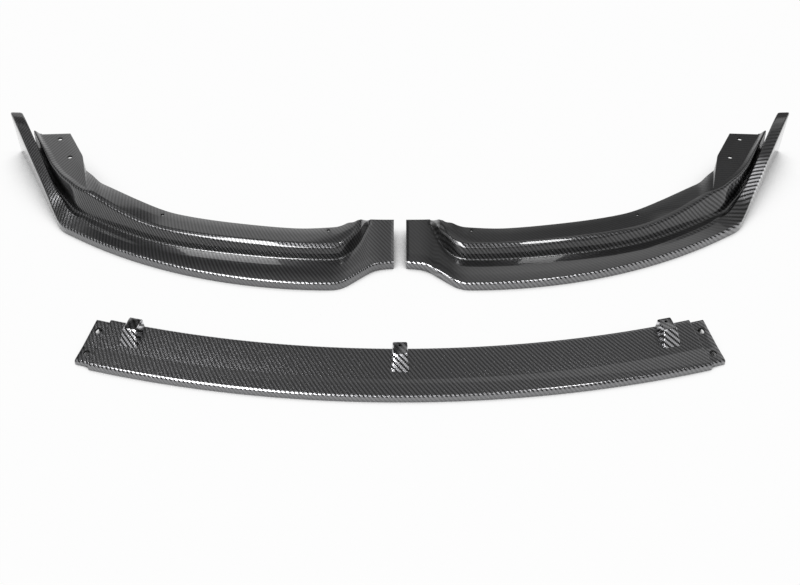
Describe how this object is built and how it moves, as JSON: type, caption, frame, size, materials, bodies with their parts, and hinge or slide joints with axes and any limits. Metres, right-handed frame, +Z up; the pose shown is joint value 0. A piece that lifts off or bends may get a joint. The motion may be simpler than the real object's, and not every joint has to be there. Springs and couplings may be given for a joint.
{
  "type": "front splitter lip",
  "caption": "Sectioned front splitter lip: two handed wings that rise into end fins behind a shoulder, and an arched centre blade with risers, laid out unassembled.",
  "frame": {"origin": "centre of the bounding box, on the floor plane under the parts", "axes": "+X across the car to the right, +Y to the rear, +Z up"},
  "size_m": [1.1432, 0.5168, 0.0708],
  "materials": {
    "carbon_look": "glossy clear-coated twill print"
  },
  "bodies": {
    "root": {"left_wing": "carbon_look", "right_wing": "carbon_look", "centre_blade": "carbon_look"}
  },
  "joints": []
}
